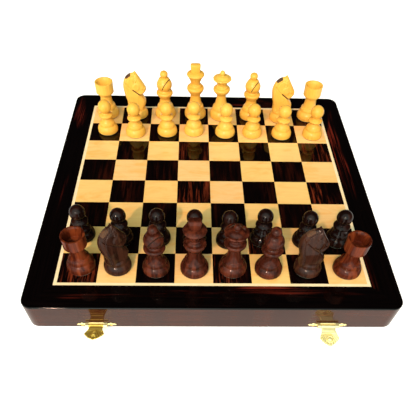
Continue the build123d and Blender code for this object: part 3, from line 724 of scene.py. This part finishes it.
def box_mesh(size, matrix):
    block = bmesh.new()
    bmesh.ops.create_cube(block, size=1.0)
    bmesh.ops.scale(block, verts=block.verts, vec=size)
    bmesh.ops.transform(block, matrix=matrix, verts=block.verts)
    mesh = bpy.data.meshes.new("cutter")
    block.to_mesh(mesh)
    block.free()
    return mesh


def make_king():
    mesh = combine(lathe("king_turned", profile_of(KING, BASES["king"])), make_finial(), "UNION", "king")
    smooth_but_for_edges(mesh)
    return mesh


def make_queen():
    mesh = lathe("queen", profile_of(QUEEN, BASES["queen"]), 128, notched)
    smooth_but_for_edges(mesh)
    return mesh


MITRE_CUT = (0.7, 20.0, 11.0)
MITRE_CUT_AT = (4.2, 0.0, 37.2)
MITRE_CUT_TILT = math.radians(24)


def make_bishop():
    placed = Matrix.Translation(Vector(MITRE_CUT_AT) * MM) @ Matrix.Rotation(MITRE_CUT_TILT, 4, "Y")
    cutter = box_mesh([side * MM for side in MITRE_CUT], placed)
    turned = lathe("bishop_turned", profile_of(BISHOP, BASES["bishop"]))
    mesh = combine(turned, cutter, "DIFFERENCE", "bishop")
    into_cut = placed.inverted()
    reach = Vector(MITRE_CUT) * (0.5 * MM)
    # faces inside the mitre slit take slot 2, the dark slit material: painted shade
    for face in mesh.polygons:
        centre = into_cut @ face.center
        if all(abs(c) < r * 1.02 for c, r in zip(centre, reach)):
            face.material_index = 2
    smooth_but_for_edges(mesh)
    return mesh


def make_rook():
    mesh = lathe("rook", profile_of(ROOK, BASES["rook"]))
    smooth_but_for_edges(mesh)
    return mesh


def make_pawn():
    mesh = lathe("pawn", pawn_profile())
    smooth_but_for_edges(mesh)
    return mesh


# ---------------------------------------------------------------- knight, carved
KNIGHT_THROAT = [(8.6, 10.6), (10.4, 15.4), (9.8, 19.4), (6.0, 24.6)]
KNIGHT_JAW = [(6.0, 24.6), (8.6, 26.0), (11.2, 29.0), (11.4, 32.0)]
KNIGHT_FACE = [(11.4, 32.0), (8.6, 36.8), (5.0, 42.6), (2.6, 46.4)]
KNIGHT_EAR_TIP = (1.2, 50.0)
KNIGHT_MANE = [
    (-0.8, 47.2), (-6.0, 45.4), (-10.6, 40.6), (-12.6, 33.2), (-11.6, 25.0), (-9.8, 18.0), (-9.6, 10.6),
]
KNIGHT_HALF_WIDTHS = [(6.6, 10.6), (6.4, 24.0), (4.2, 40.0), (2.6, 50.0)]
MANE_WIDTH = 3.6
JAW_CUT = [(-2.0, 30.6), (2.2, 27.7), (6.6, 24.4)]
NECK_LINE = [(-11.4, 39.4), (-6.4, 34.4), (-2.0, 30.6)]
MOUTH = [(11.6, 29.7), (9.4, 30.3), (7.6, 31.5)]
BRIDLE = [(2.2, 45.2), (3.6, 41.6), (6.4, 37.6), (8.8, 34.4)]
EYE = (0.9, 39.2)
NOSTRIL = (9.6, 32.6)
CHEEK = (1.6, 34.0)
CREST = [(-8.6, 42.8), (-4.4, 45.4)]
# half widths of the bands of faces painted dark as shade, in the jaw cut and along the crest
KERF_HALF_WIDTH = 0.5
CREST_SHADE_HALF_WIDTH = 1.1


def through(points, steps=9):
    """Catmull-Rom samples through the points."""
    points = np.array(points, float)
    padded = np.vstack((2 * points[0] - points[1], points, 2 * points[-1] - points[-2]))
    samples = []
    for a, b, c, d in zip(padded, padded[1:], padded[2:], padded[3:]):
        for t in np.arange(steps) / steps:
            bend = (2 * a - 5 * b + 4 * c - d) * t**2 + (3 * b - a - 3 * c + d) * t**3
            samples.append(0.5 * (2 * b + (c - a) * t + bend))
    samples.append(points[-1])
    return np.array(samples)


def distance_to(line, u, z):
    """Distance from each point to a polyline, and how far along it the nearest place is."""
    best = np.full(u.shape, 1e9)
    along = np.zeros(u.shape)
    run = 0.0
    for (u0, z0), (u1, z1) in zip(line, line[1:]):
        du, dz = u1 - u0, z1 - z0
        length = math.hypot(du, dz)
        if length < 1e-9:
            continue
        t = np.clip(((u - u0) * du + (z - z0) * dz) / length**2, 0, 1)
        gap = np.hypot(u - u0 - t * du, z - z0 - t * dz)
        nearer = gap < best
        best = np.where(nearer, gap, best)
        along = np.where(nearer, run + t * length, along)
        run += length
    return best, along


def inside(line, u, z):
    """True where the point is inside the closed polyline."""
    result = np.zeros(u.shape, bool)
    for (u0, z0), (u1, z1) in zip(line, np.roll(line, -1, axis=0)):
        if z0 == z1:
            continue
        crosses = (z0 > z) != (z1 > z)
        result ^= crosses & (u < (u1 - u0) * (z - z0) / (z1 - z0) + u0)
    return result


def groove(gap, depth, width):
    return -depth * np.exp(-((gap / width) ** 2))


def smooth_step(value, low, high):
    t = np.clip((value - low) / (high - low), 0, 1)
    return t * t * (3 - 2 * t)


def knight_maps(u, z):
    """Signed distance to the silhouette and half width of the carving, at each (forward, height)."""
    mane = through(KNIGHT_MANE)
    front = np.vstack((through(KNIGHT_THROAT)[:-1], through(KNIGHT_JAW)[:-1], through(KNIGHT_FACE)))
    outline = np.vstack((front, [KNIGHT_EAR_TIP], mane))
    closed = np.vstack((outline, outline[:1]))
    gap, _ = distance_to(closed[:-1], u, z)
    signed = np.where(inside(outline, u, z), -gap, gap)
    from_mane, along_mane = distance_to(mane, u, z)
    widths = np.array(KNIGHT_HALF_WIDTHS)
    half = np.interp(z, widths[:, 1], widths[:, 0])
    head = smooth_step(z, 25.5, 30.0)
    half = half * (1 - 0.34 * head * smooth_step(u, 1.0, 11.5))
    half = half * (1 - 0.10 * (1 - head) * smooth_step(u, 2.0, 10.0))
    on_mane = smooth_step(from_mane, MANE_WIDTH + 0.25, MANE_WIDTH - 0.25) * smooth_step(z, 12.5, 15.0)
    strands = np.sin(2 * math.pi * (along_mane - 0.9 * from_mane) / 1.9)
    half = half - 0.50 * on_mane + 0.20 * on_mane * strands
    half = half + groove(distance_to(through(JAW_CUT), u, z)[0], 1.7, 0.50)
    half = half + groove(distance_to(through(NECK_LINE), u, z)[0], 0.60, 0.28)
    half = half + groove(distance_to(through(MOUTH), u, z)[0], 0.9, 0.30)
    half = half + groove(distance_to(through(BRIDLE), u, z)[0] - 1.3, 0.16, 0.4)
    cheek = np.hypot(u - CHEEK[0], z - CHEEK[1])
    half = half + 0.55 * smooth_step(cheek, 4.4, 2.6)
    eye = np.hypot(u - EYE[0], (z - EYE[1]) * 1.25)
    half = half + 0.55 * smooth_step(eye, 1.15, 0.5) + groove(eye - 1.45, 0.35, 0.35)
    brow = np.hypot(u - EYE[0] - 0.4, (z - EYE[1] - 1.9) * 1.8)
    half = half + 0.35 * smooth_step(brow, 2.2, 0.6)
    nostril = np.hypot(u - NOSTRIL[0], z - NOSTRIL[1])
    half = half + groove(nostril, 0.8, 0.5) + 0.30 * np.exp(-(((nostril - 1.3) / 0.5) ** 2))
    rounding = 2.4 + 1.4 * smooth_step(from_mane, 6.0, 1.0) + 1.0 * (1 - head) * smooth_step(u, 0.0, 6.0)
    return signed, half, rounding


def knight_field(u, v, z, maps=None):
    """Below zero inside the carved head and neck."""
    signed, half, rounding = knight_maps(u, z) if maps is None else maps
    depth = np.minimum(-signed / rounding, 1.0)
    body = (np.abs(v) / half) ** 2.3 + np.maximum(1 - depth, 0) ** 2.3 - 1
    ear_gap = (0.25 + 0.42 * (z - 45.4)) - np.abs(v)
    ears = np.where(z > 44.8, np.maximum(body, ear_gap * 0.5), body)
    return np.maximum(ears, (10.6 - z) * 0.5)


def surface_net(values, origin, step):
    """Vertices and quads of the zero surface of a grid of values."""
    below = values < 0
    corners = [below[i:below.shape[0] - 1 + i, j:below.shape[1] - 1 + j, k:below.shape[2] - 1 + k]
               for i in (0, 1) for j in (0, 1) for k in (0, 1)]
    filled = np.sum(corners, axis=0)
    mixed = (filled > 0) & (filled < 8)
    index = np.full(mixed.shape, -1)
    cells = np.argwhere(mixed)
    index[mixed] = np.arange(len(cells))
    total = np.zeros((len(cells), 3))
    count = np.zeros(len(cells))
    quads = []
    for axis in range(3):
        unit = np.eye(3, dtype=int)[axis]
        others = [np.eye(3, dtype=int)[a] for a in range(3) if a != axis]
        for a in (0, 1):
            for b in (0, 1):
                start = cells + a * others[0] + b * others[1]
                end = start + unit
                low, high = values[tuple(start.T)], values[tuple(end.T)]
                crossed = (low < 0) != (high < 0)
                share = np.where(crossed, low / np.where(crossed, low - high, 1), 0)
                total += np.where(crossed[:, None], start + share[:, None] * unit, 0)
                count += crossed
        low = below[tuple(slice(0, n - u) for n, u in zip(below.shape, unit))]
        high = below[tuple(slice(u, n) for n, u in zip(below.shape, unit))]
        for flip, edges in ((False, low & ~high), (True, ~low & high)):
            at = np.argwhere(edges)
            at = at[np.all(at[:, [a for a in range(3) if a != axis]] > 0, axis=1)]
            around = [at - others[0] - others[1], at - others[1], at, at - others[0]]
            quad = np.stack([index[tuple(c.T)] for c in around], axis=1)
            reverse = flip ^ (axis == 1)
            quads.append(quad[:, ::-1] if reverse else quad)
    return np.array(origin) + step * total / count[:, None], np.vstack(quads)


def settle(points, field, rounds=3, reach=0.12):
    """Points moved onto the zero surface of a field of (x, y, z)."""
    eps = 0.02
    for _ in range(rounds):
        x, y, z = points.T
        here = field(x, y, z)
        slope = np.stack([
            field(x + eps, y, z) - field(x - eps, y, z),
            field(x, y + eps, z) - field(x, y - eps, z),
            field(x, y, z + eps) - field(x, y, z - eps),
        ], axis=1) / (2 * eps)
        move = -here[:, None] * slope / np.maximum((slope**2).sum(1), 1e-3)[:, None]
        size = np.linalg.norm(move, axis=1, keepdims=True)
        points = points + move * np.minimum(1, reach / np.maximum(size, 1e-9))
    return points


def mesh_of_field(name, values, field, lows, step):
    """Closed mesh in metres of a field's zero surface, from its values on a grid in mm."""
    points, quads = surface_net(values, lows, step)
    points = settle(points, field)
    mesh = bpy.data.meshes.new(name)
    mesh.from_pydata((points * MM).tolist(), [], quads.tolist())
    tidy = bmesh.new()
    tidy.from_mesh(mesh)
    bmesh.ops.recalc_face_normals(tidy, faces=tidy.faces)
    tidy.to_mesh(mesh)
    tidy.free()
    return mesh


def mark_kerf(mesh):
    """Dark faces as painted shade: along the saw cut under the jaw, and in a band along the crest where no
    notch is carved.
    """
    centres = np.empty(len(mesh.polygons) * 3)
    mesh.polygons.foreach_get("center", centres)
    u, _, z = (centres.reshape(-1, 3) / MM).T
    in_cut = distance_to(np.array(JAW_CUT), u, z)[0] < KERF_HALF_WIDTH
    in_crest_shade = distance_to(np.array(CREST), u, z)[0] < CREST_SHADE_HALF_WIDTH
    for index in np.flatnonzero(in_cut | in_crest_shade):
        mesh.polygons[index].material_index = 2


def make_knight():
    step = 0.28
    us = np.arange(-13.6, 12.8, step)
    vs = np.arange(-7.8, 7.9, step)
    zs = np.arange(9.6, 51.6, step)
    flat_u, flat_z = np.meshgrid(us, zs, indexing="ij")
    maps = [np.repeat(m[:, None, :], len(vs), axis=1) for m in knight_maps(flat_u, flat_z)]
    u, v, z = np.meshgrid(us, vs, zs, indexing="ij")
    values = knight_field(u, v, z, maps)
    head = mesh_of_field("knight_head", values, knight_field, (us[0], vs[0], zs[0]), step)
    plinth = lathe("knight_plinth", profile_of(KNIGHT_PLINTH, BASES["knight"]))
    mesh = combine(plinth, head, "UNION", "knight")
    mark_kerf(mesh)
    smooth_but_for_edges(mesh, 38)
    return mesh


# ---------------------------------------------------------------- latches, pressed and engraved brass
HASP_HALF_BARREL = 5.7
BARREL_RADIUS = 1.4
BORE_RADIUS = 0.76
HASP_OUTLINE = [(5.55, -0.2), (5.55, 4.4), (8.2, 10.6)]  # right side, as (across, outward) from the pin
HASP_TIP = 17.6
FAN_FROM = 3.0
FAN_RIBS = 11
FAN_HALF_ANGLE = math.radians(56)
DOME_AT = 11.1
DOME_RADIUS = 1.9
DOME_TOP = 1.3
RECESS_RADIUS = 1.45
HASP_HALF_THICKNESS = 0.6
BAR_OUTLINE = [  # half height of the ornamental bar at each distance from its middle
    (0.0, 2.3), (5.6, 2.3), (7.4, 1.7), (9.2, 1.15), (10.2, 1.4), (11.2, 2.0), (12.0, 2.15), (12.8, 1.7),
    (13.5, 0.9), (14.0, 1.0), (14.6, 1.3), (15.4, 0.8), (16.3, 0.05),
]
BAR_THICKNESS = 0.7
KNUCKLE_SPAN = (5.9, 9.0)
BAR_DROP = 1.0  # middle of the bar, below the pin's axis
PIN_OUT = 2.4  # the pin's axis, from the wall


def hasp_edge():
    """Scalloped outline of the hasp as points (across, outward), anticlockwise from the right."""
    right = [np.array(p) for p in HASP_OUTLINE]
    tip = np.array((0.0, HASP_TIP))
    swept = [right[-1] + (tip - right[-1]) * t for t in np.arange(1, 12) / 12]
    bow = np.array((0.5, 0.86)) * 0.9
    bulged = [p + bow * math.sin(math.pi * (i + 1) / 12) for i, p in enumerate(swept)]
    half = right + bulged + [tip]
    return np.array(half + [np.array((-p[0], p[1])) for p in reversed(half[:-1])])


def fan_ribs(across, outward):
    """Ribs that spread from the neck: -1 in the valleys and 1 on the crests."""
    angle = np.arctan2(across, outward - FAN_FROM)
    return np.cos(FAN_RIBS * math.pi * angle / FAN_HALF_ANGLE)


def hasp_field(across, outward, up, edge=None):
    """Below zero inside the hasp lying flat: barrel, neck, ribbed fan, and dome over a recess."""
    if edge is None:
        edge = hasp_maps(across, outward)
    signed, top, floor = edge
    leaf = np.maximum(np.maximum(signed, up - top), floor - up)
    from_pin = np.hypot(outward, up)
    barrel = np.maximum(from_pin - BARREL_RADIUS, np.abs(across) - HASP_HALF_BARREL)
    return np.maximum(np.minimum(leaf, barrel), BORE_RADIUS - from_pin)


def hasp_maps(across, outward):
    edge = hasp_edge()
    gap, _ = distance_to(np.vstack((edge, edge[:1])), across, outward)
    signed = np.where(inside(edge, across, outward), -gap, gap)
    on_fan = smooth_step(outward, 5.2, 7.0)
    ribs = fan_ribs(across, outward)
    signed = signed + 0.22 * on_fan * (1 - ribs) * smooth_step(outward, 9.0, 11.0)
    rim = smooth_step(signed, -0.9, -0.1)
    top = HASP_HALF_THICKNESS - 0.32 * on_fan * (1 - ribs) - 0.30 * rim
    neck_line = np.abs(outward - 4.7)
    top = top + groove(neck_line, 0.25, 0.35) * (1 - rim)
    from_dome = np.hypot(across, outward - DOME_AT)
    dome = DOME_TOP * np.sqrt(np.clip(1 - (from_dome / DOME_RADIUS) ** 2, 0, 1)) ** 0.8
    ring = 0.75 * np.exp(-(((from_dome - 2.5) / 0.35) ** 2))
    top = np.maximum(np.maximum(top, dome), ring * (from_dome < 3.4))
    recess = 1.3 * smooth_step(from_dome, RECESS_RADIUS + 0.1, RECESS_RADIUS - 0.1)
    hollow = np.minimum(recess, np.maximum(top + 0.15, 0.0))
    floor = -HASP_HALF_THICKNESS + hollow + 0.12 * on_fan * (1 + ribs) * (1 - rim)
    return signed, top, floor


def make_hasp_mesh():
    step = 0.24
    across = np.arange(-9.0, 9.1, step)
    outward = np.arange(-2.0, 18.6, step)
    up = np.arange(-2.0, 2.2, step)
    flat = hasp_maps(*np.meshgrid(across, outward, indexing="ij"))
    maps = [np.repeat(m[:, :, None], len(up), axis=2) for m in flat]
    x, y, z = np.meshgrid(across, outward, up, indexing="ij")
    values = hasp_field(x, y, z, maps)
    mesh = mesh_of_field("hasp", values, hasp_field, (across[0], outward[0], up[0]), step)
    smooth_but_for_edges(mesh, 50)
    return mesh


def bar_field(along, out, up):
    """Below zero inside the ornamental bar and its two fixed knuckles; up is from the pin's axis."""
    reach = np.abs(along)
    outline = np.array(BAR_OUTLINE)
    half = np.interp(reach, outline[:, 0], outline[:, 1])
    height = up + BAR_DROP
    edge = np.maximum(np.abs(height) - half, reach - outline[-1, 0])
    crown = BAR_THICKNESS - 0.30 * smooth_step(edge, -0.8, 0.0)
    crown = crown + groove(reach - 10.2, 0.18, 0.25) + groove(reach - 13.5, 0.2, 0.25)
    plate = np.maximum(np.maximum(edge, out - crown), -out)
    beyond = np.maximum(reach - KNUCKLE_SPAN[1], KNUCKLE_SPAN[0] - reach)
    from_pin = np.hypot(out - PIN_OUT, up)
    knuckle = np.maximum(from_pin - BARREL_RADIUS, beyond)
    web = np.maximum(np.maximum(np.abs(up) - 0.9, beyond), np.maximum(out - PIN_OUT, -out))
    return np.maximum(np.minimum(np.minimum(plate, knuckle), web), BORE_RADIUS - from_pin)


def make_bar_mesh():
    step = 0.22
    along = np.arange(-17.2, 17.3, step)
    out = np.arange(-0.65, 4.3, step)
    up = np.arange(-4.0, 2.1, step)
    x, y, z = np.meshgrid(along, out, up, indexing="ij")
    mesh = mesh_of_field("bar", bar_field(x, y, z), bar_field, (along[0], out[0], up[0]), step)
    smooth_but_for_edges(mesh, 50)
    return mesh


HASP_DROOP = {"left_hasp": math.radians(-20), "right_hasp": math.radians(12)}


def place_latches():
    joints = {joint["name"]: joint for joint in frame["record"]["behaviour"]["joints"]}
    bright, shaded_brass = make_brass(*BRIGHT_BRASS), make_brass(*SHADED_BRASS)
    hasp_mesh = make_hasp_mesh()
    pins = []
    for node, droop in HASP_DROOP.items():
        pin = Vector(joints[f"{node}_swing"]["pos_m"])
        pins.append(pin)
        hasp = bpy.data.objects.new(f"{node}_shell", hasp_mesh.copy())
        # the left hasp takes the darker brass as painted shade, the right hasp the bright brass
        hasp.data.materials.append(shaded_brass if node == "left_hasp" else bright)
        bpy.context.scene.collection.objects.link(hasp)
        outward = Vector((0, -math.cos(droop), -math.sin(droop)))
        up = Vector((0, -math.sin(droop), math.cos(droop)))
        lying = Matrix((Vector((-1, 0, 0)), outward, up)).transposed().to_4x4()
        hasp.matrix_world = Matrix.Translation(pin) @ lying
        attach(hasp, f"{node}_body")
        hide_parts(node)
    place_bars(pins, bright)


def place_bars(pins, material):
    """Both ornamental bars in one mesh, standing out from the front wall towards -Y."""
    both = bmesh.new()
    for pin in pins:
        single = make_bar_mesh()
        facing_out = Matrix.Diagonal((-1, -1, 1, 1))
        single.transform(Matrix.Translation(pin + Vector((0, PIN_OUT * MM, 0))) @ facing_out)
        both.from_mesh(single)
    mesh = bpy.data.meshes.new("bars")
    both.to_mesh(mesh)
    both.free()
    smooth_but_for_edges(mesh, 50)
    mesh.materials.append(material)
    bars = bpy.data.objects.new("latch_bars", mesh)
    bpy.context.scene.collection.objects.link(bars)
    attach(bars, "front_half")
    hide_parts("latch_plates")


TURNS = {
    "dark_knight_left": 40.0, "dark_knight_right": 5.0,
    "dark_bishop_left": -50.0, "dark_bishop_right": 25.0,
    "light_bishop_left": -30.0, "light_bishop_right": -30.0,
}


ROSEWOODS = {  # name, deep colour, mid colour, streak colour, share of streaks, coat roughness
    "dark": (
        "rosewood_men", (0.010, 0.002, 0.001), (0.070, 0.014, 0.007), (0.17, 0.034, 0.014), 0.5, 0.07,
    ),
    "dark_rook": (
        "rosewood_rooks", (0.020, 0.003, 0.001), (0.10, 0.016, 0.006), (0.24, 0.045, 0.012), 0.6, 0.08,
    ),
    "dark_pawn": (
        "rosewood_pawns", (0.003, 0.0012, 0.001), (0.012, 0.004, 0.003), (0.04, 0.010, 0.006), 0.35, 0.06,
    ),
    "dark_knight": (
        "rosewood_knights", (0.010, 0.003, 0.0015), (0.045, 0.014, 0.008), (0.09, 0.030, 0.015), 0.5, 0.11,
    ),
}


def place_men():
    meshes = {
        "king": make_king(), "queen": make_queen(), "bishop": make_bishop(),
        "knight": make_knight(), "rook": make_rook(), "pawn": make_pawn(),
    }
    felt = make_felt("green_felt", (0.012, 0.06, 0.03), (0.03, 0.13, 0.07))
    # dark material for the slits: painted shade in the bishop's mitre slit and the knight's jaw cut and crest
    kerf, kerf_shader = new_material("slit_painted_shade")
    slit_shade_colour = ramp_between(kerf, noise(kerf, "Object", 500.0), (0.09, 0.030, 0.006), (0.03, 0.012, 0.004))
    link(kerf, slit_shade_colour, kerf_shader.inputs["Base Color"])
    kerf_shader.inputs["Roughness"].default_value = 0.8
    woods = {"light": make_boxwood()}
    for key, looks in ROSEWOODS.items():
        woods[key] = make_rosewood(*looks)
    for node in sorted(frame["nodes"]):
        colour, _, name = node.partition("_")
        kind = name.split("_")[0]
        if colour not in ("dark", "light") or kind not in meshes:
            continue
        mesh = meshes[kind].copy()
        wood = woods.get(f"{colour}_{kind}", woods[colour])
        slots = [face.material_index for face in mesh.polygons]
        mesh.materials.clear()
        for material in (wood, felt, kerf):
            mesh.materials.append(material)
        mesh.polygons.foreach_set("material_index", slots)
        man = bpy.data.objects.new(f"{node}_turned", mesh)
        bpy.context.scene.collection.objects.link(man)
        low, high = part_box(node)
        base_reach = (high.y - low.y) / 2
        man.location = (high.x - base_reach, high.y - base_reach, low.z)
        man.rotation_euler.z = math.radians(TURNS.get(node, 0.0))
        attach(man, f"{node}_body")
        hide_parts(node)


def dress_board():
    border, walls, dark, maple = make_border(), make_wall_wood(), make_dark_veneer(), make_maple()
    plywood, steel, brass = make_plywood(), make_sheet_steel(), make_brass(*POLISHED_BRASS)
    lining = make_felt("lining_felt", (0.010, 0.050, 0.028), (0.026, 0.115, 0.065))
    rules = [
        ("wall", walls), ("border", border), ("dark_squares", dark), ("maple_inlay", maple),
        ("panel", plywood), ("steel_sheet", steel), ("lining", lining),
    ]
    for name, node in frame["nodes"].items():
        found = [material for ending, material in rules if name.endswith(ending)]
        if node.hide_render:
            continue
        node.data.materials.clear()
        node.data.materials.append(found[0] if found else brass)
        smooth_but_for_edges(node.data, 30)


make_camera()
make_lights()
make_floor()
place_men()
place_latches()
dress_board()

scene = bpy.context.scene
scene.view_settings.view_transform = "Standard"
scene.view_settings.look = "None"
